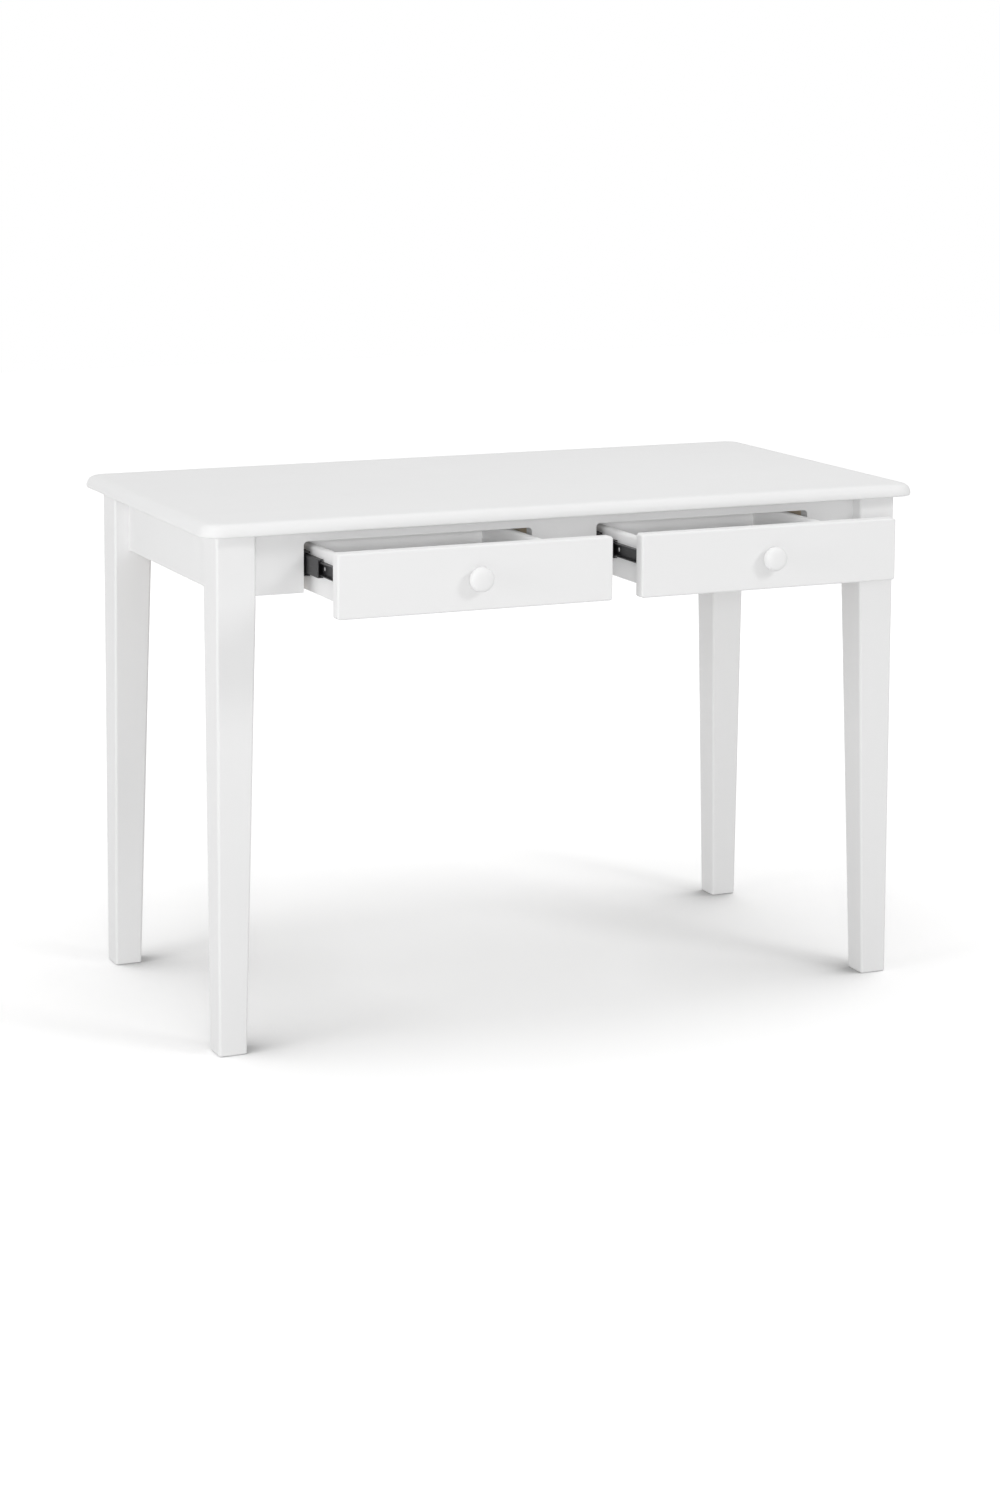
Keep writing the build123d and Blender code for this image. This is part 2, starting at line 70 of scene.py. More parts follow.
class NodeSheet:
    """A small helper that adds and links nodes in one node tree."""

    column_width: ClassVar[int] = 190
    # A Mix node has sockets for every kind of data, and these are the places of its colours
    mix_colours: ClassVar[tuple[int, int]] = (6, 7)
    mix_result: ClassVar[int] = 2

    def __init__(self, tree: bpy.types.NodeTree) -> None:
        """Keeps the tree.

        Args:
            tree: The node tree that gets the nodes.
        """
        self.tree = tree
        self.column = 0

    def add(self, kind: str, **settings: object) -> bpy.types.Node:
        """Adds a node and sets its own properties.

        Args:
            kind: The node's type name.
            settings: Properties of the node.

        Returns:
            The new node.
        """
        node = self.tree.nodes.new(kind)
        node.location = (self.column * self.column_width, 0)
        self.column += 1
        for name, value in settings.items():
            setattr(node, name, value)
        return node

    def link(self, source: bpy.types.NodeSocket, target: bpy.types.NodeSocket) -> None:
        """Joins two sockets.

        Args:
            source: An output.
            target: An input.
        """
        self.tree.links.new(source, target)

    def math(self, operation: str, first: object, second: object = 0.0) -> bpy.types.NodeSocket:
        """Adds a math node whose inputs are sockets or numbers.

        Args:
            operation: The node's operation.
            first: A socket or a number.
            second: A socket or a number.

        Returns:
            The value socket.
        """
        node = self.add("ShaderNodeMath", operation=operation)
        for socket, value in zip(node.inputs, (first, second)):
            if isinstance(value, bpy.types.NodeSocket):
                self.link(value, socket)
            else:
                socket.default_value = value
        return node.outputs[0]

    def spread(self, value: bpy.types.NodeSocket, low: float, high: float,
               start: float = 0.0, end: float = 1.0) -> bpy.types.NodeSocket:
        """Maps a value from one range to another.

        Args:
            value: The socket to map.
            low: Result at start.
            high: Result at end.
            start: Lower end of the input.
            end: Upper end of the input.

        Returns:
            The mapped value.
        """
        node = self.add("ShaderNodeMapRange")
        self.link(value, node.inputs["Value"])
        node.inputs["From Min"].default_value = start
        node.inputs["From Max"].default_value = end
        node.inputs["To Min"].default_value = low
        node.inputs["To Max"].default_value = high
        return node.outputs["Result"]

    def noise(self, vector: bpy.types.NodeSocket, scale: float, detail: float = 3.0,
              rough: float = 0.5) -> bpy.types.NodeSocket:
        """Adds a noise texture.

        Args:
            vector: Coordinates.
            scale: Noise scale per metre.
            detail: Octaves.
            rough: Weight of the finer octaves.

        Returns:
            The noise value.
        """
        node = self.add("ShaderNodeTexNoise")
        self.link(vector, node.inputs["Vector"])
        node.inputs["Scale"].default_value = scale
        node.inputs["Detail"].default_value = detail
        node.inputs["Roughness"].default_value = rough
        return node.outputs["Fac"]

    def stretched(self, scale: Point = (1.0, 1.0, 1.0)) -> bpy.types.NodeSocket:
        """Object coordinates, scaled along each axis.

        Args:
            scale: Scale along X, Y and Z.

        Returns:
            The coordinate socket.
        """
        where = self.add("ShaderNodeTexCoord")
        mapping = self.add("ShaderNodeMapping")
        self.link(where.outputs["Object"], mapping.inputs["Vector"])
        mapping.inputs["Scale"].default_value = scale
        return mapping.outputs["Vector"]

    def blend(self, mask: bpy.types.NodeSocket, first: object, second: object) -> bpy.types.NodeSocket:
        """Mixes two colours by a mask.

        Args:
            mask: The mask socket.
            first: Colour or socket where the mask is 0.
            second: Colour or socket where the mask is 1.

        Returns:
            The mixed colour.
        """
        node = self.add("ShaderNodeMix", data_type="RGBA")
        self.link(mask, node.inputs["Factor"])
        for place, value in zip(self.mix_colours, (first, second)):
            if isinstance(value, bpy.types.NodeSocket):
                self.link(value, node.inputs[place])
            else:
                node.inputs[place].default_value = (*value, 1.0)
        return node.outputs[self.mix_result]

    def vector(self, operation: str, first: bpy.types.NodeSocket, second: Optional[Point] = None,
               result: str = "Vector") -> bpy.types.NodeSocket:
        """Adds a vector math node.

        Args:
            operation: The node's operation.
            first: The vector to work on.
            second: A fixed second vector, if the operation takes one.
            result: The output to use.

        Returns:
            The output socket.
        """
        node = self.add("ShaderNodeVectorMath", operation=operation)
        self.link(first, node.inputs[0])
        if second is not None:
            node.inputs[1].default_value = second
        return node.outputs[result]


def shared_group(name: str, outputs: Sequence[tuple[str, str]],
                 inputs: Sequence[tuple[str, str, object]],
                 fill: Callable[[NodeSheet, bpy.types.Node, bpy.types.Node], None]
                 ) -> bpy.types.NodeTree:
    """A shader group that several finishes share, made once.

    Args:
        name: The group's name.
        outputs: Name and socket type of each output.
        inputs: Name, socket type and default of each input.
        fill: Adds the nodes between the group's input and output.

    Returns:
        The node group.
    """
    made = bpy.data.node_groups.get(name)
    if made is not None:
        return made
    made = bpy.data.node_groups.new(name, "ShaderNodeTree")
    for label, kind, default in inputs:
        socket = made.interface.new_socket(label, in_out="INPUT", socket_type=kind)
        socket.default_value = default
    for label, kind in outputs:
        made.interface.new_socket(label, in_out="OUTPUT", socket_type=kind)
    sheet = NodeSheet(made)
    fill(sheet, sheet.add("NodeGroupInput"), sheet.add("NodeGroupOutput"))
    return made


def edge_group() -> bpy.types.NodeTree:
    """A mask of a solid's edges, with a normal that rounds them.

    Returns:
        The node group with outputs Mask and Normal.
    """

    def fill(sheet: NodeSheet, given: bpy.types.Node, result: bpy.types.Node) -> None:
        """Lays out the group's nodes."""
        edge_turn = (0.01, 0.18)
        bevel = sheet.add("ShaderNodeBevel", samples=4)
        sheet.link(given.outputs["Radius"], bevel.inputs["Radius"])
        flat = sheet.add("ShaderNodeNewGeometry")
        dot = sheet.add("ShaderNodeVectorMath", operation="DOT_PRODUCT")
        sheet.link(bevel.outputs["Normal"], dot.inputs[0])
        sheet.link(flat.outputs["Normal"], dot.inputs[1])
        turn = sheet.math("SUBTRACT", 1.0, dot.outputs["Value"])
        mask = sheet.spread(turn, 0.0, 1.0, *edge_turn)
        sheet.link(mask, result.inputs["Mask"])
        sheet.link(bevel.outputs["Normal"], result.inputs["Normal"])

    return shared_group("edge_mask", [("Mask", "NodeSocketFloat"), ("Normal", "NodeSocketVector")],
                        [("Radius", "NodeSocketFloat", 0.8 * MM)], fill)


def paint_group() -> bpy.types.NodeTree:
    """The surface of sprayed paint: fine orange peel, a broad tone and faint handling marks.

    Returns:
        The node group with outputs Peel, Tone and Marks.
    """

    def fill(sheet: NodeSheet, given: bpy.types.Node, result: bpy.types.Node) -> None:
        """Lays out the group's nodes."""
        where = given.outputs["Vector"]
        peel_scale, tone_scale, mark_scale = 420.0, 3.5, 17.0
        mark_band = (0.52, 0.75)
        sheet.link(sheet.noise(where, peel_scale, detail=2.0), result.inputs["Peel"])
        sheet.link(sheet.noise(where, tone_scale, detail=2.0), result.inputs["Tone"])
        smudge = sheet.noise(where, mark_scale, detail=4.0, rough=0.62)
        sheet.link(sheet.spread(smudge, 0.0, 1.0, *mark_band), result.inputs["Marks"])

    return shared_group(
        "sprayed_paint",
        [("Peel", "NodeSocketFloat"), ("Tone", "NodeSocketFloat"), ("Marks", "NodeSocketFloat")],
        [("Vector", "NodeSocketVector", (0.0, 0.0, 0.0))], fill)


def timber_group() -> bpy.types.NodeTree:
    """Wood grain along the short direction of its coordinates.

    Returns:
        The node group with outputs Bands and Pores.
    """

    def fill(sheet: NodeSheet, given: bpy.types.Node, result: bpy.types.Node) -> None:
        """Lays out the group's nodes."""
        where = given.outputs["Vector"]
        broad_scale, ring_scale, pore_scale = 9.0, 70.0, 380.0
        broad_share, ring_share = 0.55, 0.45
        ring_band, pore_band = (0.36, 0.64), (0.54, 0.72)
        broad = sheet.math("MULTIPLY", sheet.noise(where, broad_scale, detail=3.0), broad_share)
        rings = sheet.math("MULTIPLY", sheet.noise(where, ring_scale, detail=4.0, rough=0.6), ring_share)
        both = sheet.math("ADD", broad, rings)
        sheet.link(sheet.spread(both, 0.0, 1.0, *ring_band), result.inputs["Bands"])
        pores = sheet.noise(where, pore_scale, detail=2.0)
        sheet.link(sheet.spread(pores, 0.0, 1.0, *pore_band), result.inputs["Pores"])

    return shared_group("timber_grain", [("Bands", "NodeSocketFloat"), ("Pores", "NodeSocketFloat")],
                        [("Vector", "NodeSocketVector", (0.0, 0.0, 0.0))], fill)


# Finishes


@dataclass(frozen=True)
class Finish:
    """What every finish has: a name, a colour, a roughness range, an edge and a relief."""

    name: str
    colour: Point
    rough: tuple[float, float]
    edge_round: float = 0.8 * MM
    relief_height: float = 0.05 * MM
    relief_strength: float = 0.25

    def material(self) -> bpy.types.Material:
        """The material, made on first use.

        Returns:
            The material of this finish.
        """
        made = bpy.data.materials.get(self.name)
        if made is None:
            made = bpy.data.materials.new(self.name)
            made.use_nodes = True
            made.diffuse_color = (*self.colour, 1.0)
            sheet = NodeSheet(made.node_tree)
            shader = made.node_tree.nodes["Principled BSDF"]
            self.paint(sheet, shader)
            LOG.info("finish %s", self.name)
        return made

    def paint(self, sheet: NodeSheet, shader: bpy.types.Node) -> None:
        """Adds this finish's nodes; each kind of finish has its own.

        Args:
            sheet: The material's nodes.
            shader: The material's Principled shader.
        """
        raise NotImplementedError

    @staticmethod
    def use(sheet: NodeSheet, group: bpy.types.NodeTree,
            vector: Optional[bpy.types.NodeSocket] = None) -> bpy.types.Node:
        """Adds a shared group to a material.

        Args:
            sheet: The material's nodes.
            group: The shared group.
            vector: Coordinates for the group, if it takes them.

        Returns:
            The group node.
        """
        node = sheet.add("ShaderNodeGroup", node_tree=group)
        if vector is not None:
            sheet.link(vector, node.inputs["Vector"])
        return node

    def rounded_edges(self, sheet: NodeSheet) -> bpy.types.Node:
        """Adds the shared edge group with this finish's own radius.

        Args:
            sheet: The material's nodes.

        Returns:
            The group node.
        """
        node = self.use(sheet, edge_group())
        node.inputs["Radius"].default_value = self.edge_round
        return node

    def raise_surface(self, sheet: NodeSheet, shader: bpy.types.Node, height: bpy.types.NodeSocket,
                      normal: Optional[bpy.types.NodeSocket] = None) -> None:
        """Links this finish's relief to the shader.

        Args:
            sheet: The material's nodes.
            shader: The Principled shader.
            height: The height socket.
            normal: A normal to start from.
        """
        bump = sheet.add("ShaderNodeBump")
        bump.inputs["Strength"].default_value = self.relief_strength
        bump.inputs["Distance"].default_value = self.relief_height
        sheet.link(height, bump.inputs["Height"])
        if normal is not None:
            sheet.link(normal, bump.inputs["Normal"])
        sheet.link(bump.outputs["Normal"], shader.inputs["Normal"])


@dataclass(frozen=True)
class Lacquer(Finish):
    """Satin white lacquer over wood, with the grain just telling through."""

    relief_strength: float = 0.22
    grain: Grain = Grain.X
    show_through: float = 0.35
    tone_drop: float = 0.975
    grain_tint: float = 0.16
    rub_tint: float = 0.35
    mark_gloss: float = 0.6
    grain_gloss: float = 0.4
    specular: float = 0.30
    worn: Point = (0.80, 0.79, 0.77)

    def paint(self, sheet: NodeSheet, shader: bpy.types.Node) -> None:
        """Adds the lacquer's tone, sheen and faint relief.

        Args:
            sheet: The material's nodes.
            shader: The material's Principled shader.
        """
        paint = self.use(sheet, paint_group(), sheet.stretched())
        timber = self.use(sheet, timber_group(), sheet.stretched(self.grain.value))
        edge = self.rounded_edges(sheet)
        shade = tuple(c * self.tone_drop for c in self.colour)
        toned = sheet.blend(paint.outputs["Tone"], shade, self.colour)
        tint = sheet.math("MULTIPLY", timber.outputs["Bands"], self.grain_tint)
        grained = sheet.blend(tint, toned, shade)
        rub = sheet.math("MULTIPLY", edge.outputs["Mask"], paint.outputs["Marks"])
        coloured = sheet.blend(sheet.math("MULTIPLY", rub, self.rub_tint), grained, self.worn)
        sheet.link(coloured, shader.inputs["Base Color"])
        wander = sheet.math("ADD", sheet.math("MULTIPLY", paint.outputs["Marks"], self.mark_gloss),
                            sheet.math("MULTIPLY", timber.outputs["Bands"], self.grain_gloss))
        sheet.link(sheet.spread(wander, *self.rough), shader.inputs["Roughness"])
        shader.inputs["Specular IOR Level"].default_value = self.specular
        relief = sheet.math("ADD", paint.outputs["Peel"],
                            sheet.math("MULTIPLY", timber.outputs["Bands"], self.show_through))
        self.raise_surface(sheet, shader, relief, edge.outputs["Normal"])


@dataclass(frozen=True)
class Timber(Finish):
    """Planed wood with no paint, for the pieces that stay out of sight."""

    relief_height: float = 0.12 * MM
    relief_strength: float = 0.4
    grain: Grain = Grain.Y
    late: Point = (0.62, 0.48, 0.33)
    pore_dark: float = 0.55
    pore_tint: float = 0.45
    edge_pale: float = 1.15
    edge_tint: float = 0.4

    def paint(self, sheet: NodeSheet, shader: bpy.types.Node) -> None:
        """Adds the growth rings, the pores and the paler edges.

        Args:
            sheet: The material's nodes.
            shader: The material's Principled shader.
        """
        timber = self.use(sheet, timber_group(), sheet.stretched(self.grain.value))
        edge = self.rounded_edges(sheet)
        ringed = sheet.blend(timber.outputs["Bands"], self.colour, self.late)
        dark = tuple(c * self.pore_dark for c in self.late)
        pored = sheet.blend(sheet.math("MULTIPLY", timber.outputs["Pores"], self.pore_tint), ringed, dark)
        pale = tuple(min(1.0, c * self.edge_pale) for c in self.colour)
        rubbed = sheet.blend(sheet.math("MULTIPLY", edge.outputs["Mask"], self.edge_tint), pored, pale)
        sheet.link(rubbed, shader.inputs["Base Color"])
        sheet.link(sheet.spread(timber.outputs["Bands"], *self.rough), shader.inputs["Roughness"])
        relief = sheet.math("SUBTRACT", timber.outputs["Bands"], timber.outputs["Pores"])
        self.raise_surface(sheet, shader, relief, edge.outputs["Normal"])


@dataclass(frozen=True)
class CoatedSteel(Finish):
    """Black coated sheet steel, rubbed bright where it runs and on its cut edges."""

    edge_round: float = 0.35 * MM
    relief_height: float = 0.03 * MM
    relief_strength: float = 0.35
    bare: Point = (0.32, 0.32, 0.33)
    run: Point = (1.0, 0.03, 1.0)
    streak_scale: float = 900.0
    streak_band: tuple[float, float] = (0.58, 0.74)
    streak_wear: float = 0.16
    edge_wear: float = 0.55
    least_wear: float = 0.25
    bare_metal: float = 0.9

    def paint(self, sheet: NodeSheet, shader: bpy.types.Node) -> None:
        """Adds the coat, the running marks along the slide and the worn edges.

        Args:
            sheet: The material's nodes.
            shader: The material's Principled shader.
        """
        paint = self.use(sheet, paint_group(), sheet.stretched())
        lines = sheet.noise(sheet.stretched(self.run), self.streak_scale, detail=3.0)
        streak = sheet.spread(lines, 0.0, 1.0, *self.streak_band)
        edge = self.rounded_edges(sheet)
        rub = sheet.math("MULTIPLY", edge.outputs["Mask"],
                         sheet.spread(paint.outputs["Marks"], self.least_wear, 1.0))
        worn = sheet.math("MAXIMUM", sheet.math("MULTIPLY", rub, self.edge_wear),
                          sheet.math("MULTIPLY", streak, self.streak_wear))
        sheet.link(sheet.blend(worn, self.colour, self.bare), shader.inputs["Base Color"])
        sheet.link(sheet.spread(worn, 0.0, self.bare_metal), shader.inputs["Metallic"])
        sheet.link(sheet.spread(paint.outputs["Tone"], *self.rough), shader.inputs["Roughness"])
        self.raise_surface(sheet, shader, paint.outputs["Peel"], edge.outputs["Normal"])


@dataclass(frozen=True)
class ZincSteel(Finish):
    """Bright zinc plating with a cloudy bloom."""

    edge_round: float = 0.25 * MM
    relief_height: float = 0.02 * MM
    bloom: Point = (1.02, 0.97, 0.86)
    edge_bright: float = 1.2

    def paint(self, sheet: NodeSheet, shader: bpy.types.Node) -> None:
        """Adds the bloom and the brighter edges of the plating.

        Args:
            sheet: The material's nodes.
            shader: The material's Principled shader.
        """
        paint = self.use(sheet, paint_group(), sheet.stretched())
        edge = self.rounded_edges(sheet)
        warm = tuple(c * turn for c, turn in zip(self.colour, self.bloom))
        clouded = sheet.blend(paint.outputs["Marks"], self.colour, warm)
        bright = tuple(min(1.0, c * self.edge_bright) for c in self.colour)
        sheet.link(sheet.blend(edge.outputs["Mask"], clouded, bright), shader.inputs["Base Color"])
        shader.inputs["Metallic"].default_value = 1.0
        sheet.link(sheet.spread(paint.outputs["Marks"], *self.rough), shader.inputs["Roughness"])
        self.raise_surface(sheet, shader, paint.outputs["Peel"], edge.outputs["Normal"])


@dataclass(frozen=True)
class MouldedPlastic(Finish):
    """Matte black moulded plastic."""

    relief_height: float = 0.04 * MM
    relief_strength: float = 0.5
    mark_pale: float = 1.8

    def paint(self, sheet: NodeSheet, shader: bpy.types.Node) -> None:
        """Adds the mould's fine texture.

        Args:
            sheet: The material's nodes.
            shader: The material's Principled shader.
        """
        paint = self.use(sheet, paint_group(), sheet.stretched())
        grey = tuple(c * self.mark_pale for c in self.colour)
        sheet.link(sheet.blend(paint.outputs["Marks"], self.colour, grey), shader.inputs["Base Color"])
        sheet.link(sheet.spread(paint.outputs["Tone"], *self.rough), shader.inputs["Roughness"])
        self.raise_surface(sheet, shader, paint.outputs["Peel"])


WHITE: Point = (0.86, 0.86, 0.86)
BOX_WHITE: Point = (0.88, 0.88, 0.88)
LACQUER = {g: Lacquer(f"lacquer_{g.name.lower()}", colour=WHITE, rough=(0.44, 0.58), grain=g)
           for g in Grain}
BOX_PAINT = {g: Lacquer(f"box_paint_{g.name.lower()}", colour=BOX_WHITE, rough=(0.50, 0.66), grain=g,
                        show_through=0.7)
             for g in Grain}
TIMBER = {g: Timber(f"timber_{g.name.lower()}", colour=(0.78, 0.68, 0.54), rough=(0.55, 0.75), grain=g)
          for g in Grain}
SLIDE_STEEL = CoatedSteel("slide_steel", colour=(0.022, 0.022, 0.024), rough=(0.30, 0.46))
ZINC = ZincSteel("zinc_steel", colour=(0.62, 0.63, 0.66), rough=(0.22, 0.48))
RETAINER = MouldedPlastic("retainer_plastic", colour=(0.018, 0.018, 0.018), rough=(0.45, 0.62))


def dress(node: str, finish: Finish) -> None:
    """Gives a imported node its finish.

    Args:
        node: The node's name.
        finish: The finish for all its faces.
    """
    slots = frame["nodes"][node].material_slots
    for slot in slots:
        slot.link = "OBJECT"
        slot.material = finish.material()
    LOG.info("%s wears %s", node, finish.name)


# Fasteners


MERGE_DISTANCE = 0.01 * MM


def body_of(node: str) -> str:
    """The body that carries a node.

    Args:
        node: The node's name.

    Returns:
        The body's name.
    """
    groups = frame["record"]["behaviour"]["bodies"]
    return next(body for body, names in groups.items() if node in names)


def separate_solids(node: str) -> list[list[Vector]]:
    """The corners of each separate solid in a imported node.

    Args:
        node: The node's name.

    Returns:
        One list of corners for each solid.
    """
    work = bmesh.new()
    work.from_mesh(frame["nodes"][node].data)
    bmesh.ops.remove_doubles(work, verts=work.verts, dist=MERGE_DISTANCE)
    found: list[list[Vector]] = []
    waiting = set(work.verts)
    while waiting:
        front = [waiting.pop()]
        solid: list[Vector] = []
        while front:
            corner = front.pop()
            solid.append(corner.co.copy())
            for edge in corner.link_edges:
                other = edge.other_vert(corner)
                if other in waiting:
                    waiting.remove(other)
                    front.append(other)
        found.append(solid)
    work.free()
    return sorted(found, key=lambda solid: tuple(round(v, 6) for v in min(solid, key=tuple)))


@dataclass(frozen=True)
class ScrewPlace:
    """Where one screw sits, read from its solid."""

    # Corners further out than the first share of the head's radius are its rim, and those
    # further in than the second are the shank
    rim_share: ClassVar[float] = 0.98
    shank_share: ClassVar[float] = 0.65

    seat: Vector
    out: Vector
    head: float
    head_height: float
    shank: float
    length: float

    @classmethod
    def read(cls, corners: Sequence[Vector]) -> "ScrewPlace":
        """Finds a screw's seat, direction and sizes.

        Args:
            corners: The corners of the screw's solid.

        Returns:
            The screw's place.
        """
        low = Vector(min(c[i] for c in corners) for i in range(3))
        high = Vector(max(c[i] for c in corners) for i in range(3))
        size = high - low
        axis = max(range(3), key=lambda i: size[i])
        middle = (low + high) / 2
        across = [i for i in range(3) if i != axis]
        radius = {c.freeze(): math.hypot(*(c[i] - middle[i] for i in across)) for c in corners}
        head = max(radius.values())
        wide = [c for c, r in radius.items() if r > head * cls.rim_share]
        shank = max(r for r in radius.values() if r < head * cls.shank_share)
        out = Vector((0.0, 0.0, 0.0))
        out[axis] = 1.0 if sum(c[axis] for c in wide) / len(wide) > middle[axis] else -1.0
        seat = middle.copy()
        seat[axis] = min((c[axis] for c in wide), key=lambda v: v * out[axis])
        top = high[axis] if out[axis] > 0 else low[axis]
        tall = abs(top - seat[axis])
        return cls(seat, out, head, tall, shank, size[axis] - tall)


@dataclass(frozen=True)
class PanScrew:
    """A pan-head wood screw with a cross recess, drawn at the solid's own sizes."""

    place: ScrewPlace
    segments: int = 24
    pitch: float = 1.3 * MM
    thread_depth: float = 0.16
    point_share: float = 0.5
    crest_at: float = 0.35
    thread_end: float = 0.7
    runout: float = 0.5
    crown_steps: int = 6
    crown_flat: float = 0.4
    crown_rise: float = 0.3
    cross_length: float = 0.58
    cross_width: float = 0.13
    cross_depth: float = 0.62
    cross_taper: float = 0.55
    cutter_rise: float = 1.1
    merge: float = 0.005 * MM

    def profile(self) -> list[tuple[float, float]]:
        """Half of the screw's outline, from its point to the crown of its head.

        Returns:
            Radius and height of each corner.
        """
        size = self.place
        root = size.shank * (1 - 2 * self.thread_depth)
        points = [(0.0, -size.length), (root * self.point_share, -size.length + self.pitch)]
        height = -size.length + 2 * self.pitch
        while height < -2 * self.pitch:
            crest = height + self.pitch * self.crest_at
            end = height + self.pitch * self.thread_end
            points += [(root, height), (size.shank, crest), (root, end)]
            height += self.pitch
        points += [(root, height), (size.shank, height + self.pitch * self.runout), (size.shank, 0.0)]
        points.append((size.head, 0.0))
        for step in range(self.crown_steps + 1):
            angle = math.pi / 2 * step / self.crown_steps
            wide = self.crown_flat + (1 - self.crown_flat) * math.cos(angle)
            tall = self.crown_rise + (1 - self.crown_rise) * math.sin(angle)
            points.append((size.head * wide, size.head_height * tall))
        points.append((0.0, size.head_height))
        return points

    def recess(self) -> bpy.types.Object:
        """The tapered cross that is cut into the head.

        Returns:
            A scratch object.
        """
        size = self.place
        long, thin = size.head * self.cross_length, size.head * self.cross_width
        top, bottom = size.head_height * self.cutter_rise, size.head_height * (1 - self.cross_depth)
        work = bmesh.new()
        for turn in (0.0, math.pi / 2):
            for corner in bmesh.ops.create_cube(work, size=2.0)["verts"]:
                upper = corner.co.z > 0
                shrink = 1.0 if upper else self.cross_taper
                place = Vector((corner.co.x * long * shrink, corner.co.y * thin * shrink, 0.0))
                place.z = top if upper else bottom
                corner.co = Matrix.Rotation(turn, 3, "Z") @ place
        mesh = bpy.data.meshes.new("recess")
        work.to_mesh(mesh)
        work.free()
        return bpy.data.objects.new("recess", mesh)

    def build(self) -> bpy.types.Object:
        """One screw at the origin, with its head up.

        Returns:
            A scratch object.
        """
        work = bmesh.new()
        rim = [work.verts.new((r, 0.0, z)) for r, z in self.profile()]
        edges = [work.edges.new(pair) for pair in zip(rim, rim[1:])]
        bmesh.ops.spin(work, geom=rim + edges, cent=(0, 0, 0), axis=(0, 0, 1), angle=math.tau,
                       steps=self.segments, use_merge=True)
        bmesh.ops.remove_doubles(work, verts=work.verts, dist=self.merge)
        bmesh.ops.recalc_face_normals(work, faces=work.faces)
        mesh = bpy.data.meshes.new("screw")
        work.to_mesh(mesh)
        work.free()
        screw = bpy.data.objects.new("screw", mesh)
        cutter = self.recess()
        for thing in (screw, cutter):
            bpy.context.scene.collection.objects.link(thing)
        cross = screw.modifiers.new("cross", "BOOLEAN")
        cross.operation = "DIFFERENCE"
        cross.solver = "EXACT"
        cross.use_self = True
        cross.object = cutter
        view = bpy.context.evaluated_depsgraph_get()
        cut_mesh = bpy.data.meshes.new_from_object(screw.evaluated_get(view))
        screw.modifiers.clear()
        screw.data = cut_mesh
        bpy.data.objects.remove(cutter)
        return screw


def screw_tree() -> bpy.types.NodeTree:
    """Geometry nodes that set a screw on every point, turned by the point's own attribute.

    Returns:
        The node tree, made once.
    """
    made = bpy.data.node_groups.get("screws_on_points")
    if made is not None:
        return made
    made = bpy.data.node_groups.new("screws_on_points", "GeometryNodeTree")
    for label, kind in (("Places", "Geometry"), ("Screw", "Object"), ("Finish", "Material")):
        made.interface.new_socket(label, in_out="INPUT", socket_type=f"NodeSocket{kind}")
    made.interface.new_socket("Screws", in_out="OUTPUT", socket_type="NodeSocketGeometry")
    sheet = NodeSheet(made)
    given = sheet.add("NodeGroupInput")
    source = sheet.add("GeometryNodeObjectInfo")
    turn = sheet.add("GeometryNodeInputNamedAttribute", data_type="FLOAT_VECTOR")
    turn.inputs["Name"].default_value = "turn"
    rotation = sheet.add("FunctionNodeEulerToRotation")
    spread = sheet.add("GeometryNodeInstanceOnPoints")
    real = sheet.add("GeometryNodeRealizeInstances")
    dressed = sheet.add("GeometryNodeSetMaterial")
    result = sheet.add("NodeGroupOutput")
    sheet.link(given.outputs["Screw"], source.inputs["Object"])
    sheet.link(given.outputs["Places"], spread.inputs["Points"])
    sheet.link(source.outputs["Geometry"], spread.inputs["Instance"])
    sheet.link(turn.outputs["Attribute"], rotation.inputs[0])
    sheet.link(rotation.outputs[0], spread.inputs["Rotation"])
    sheet.link(spread.outputs["Instances"], real.inputs["Geometry"])
    sheet.link(real.outputs["Geometry"], dressed.inputs["Geometry"])
    sheet.link(given.outputs["Finish"], dressed.inputs["Material"])
    sheet.link(dressed.outputs["Geometry"], result.inputs["Screws"])
    return made


@dataclass(frozen=True)
class ScrewSet:
    """All the screws of one node, with recessed heads in place of the plain solids."""

    node: str
    finish: Finish

    def build(self) -> bpy.types.Object:
        """Makes the screws as one piece that rides with the node's body.

        Returns:
            The piece.
        """
        places = [ScrewPlace.read(corners) for corners in separate_solids(self.node)]
        screw = PanScrew(places[0]).build()
        spots = bpy.data.meshes.new("screw_spots")
        spots.from_pydata([p.seat for p in places], [], [])
        turns = spots.attributes.new("turn", "FLOAT_VECTOR", "POINT")
        for spot, place in zip(turns.data, places):
            spot.vector = place.out.to_track_quat("Z", "Y").to_euler()
        holder = bpy.data.objects.new("screw_spots", spots)
        bpy.context.scene.collection.objects.link(holder)
        tree = screw_tree()
        sockets = {item.name: item.identifier for item in tree.interface.items_tree}
        nodes = holder.modifiers.new("screws", "NODES")
        nodes.node_group = tree
        nodes[sockets["Screw"]] = screw
        nodes[sockets["Finish"]] = self.finish.material()
        view = bpy.context.evaluated_depsgraph_get()
        mesh = bpy.data.meshes.new_from_object(holder.evaluated_get(view))
        for scratch in (holder, screw):
            bpy.data.objects.remove(scratch)
        piece = bpy.data.objects.new(f"{self.node}_recessed", mesh)
        bpy.context.scene.collection.objects.link(piece)
        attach(piece, body_of(self.node))
        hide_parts(self.node)
        LOG.info("%s has %d screws", piece.name, len(places))
        return piece


# Studio


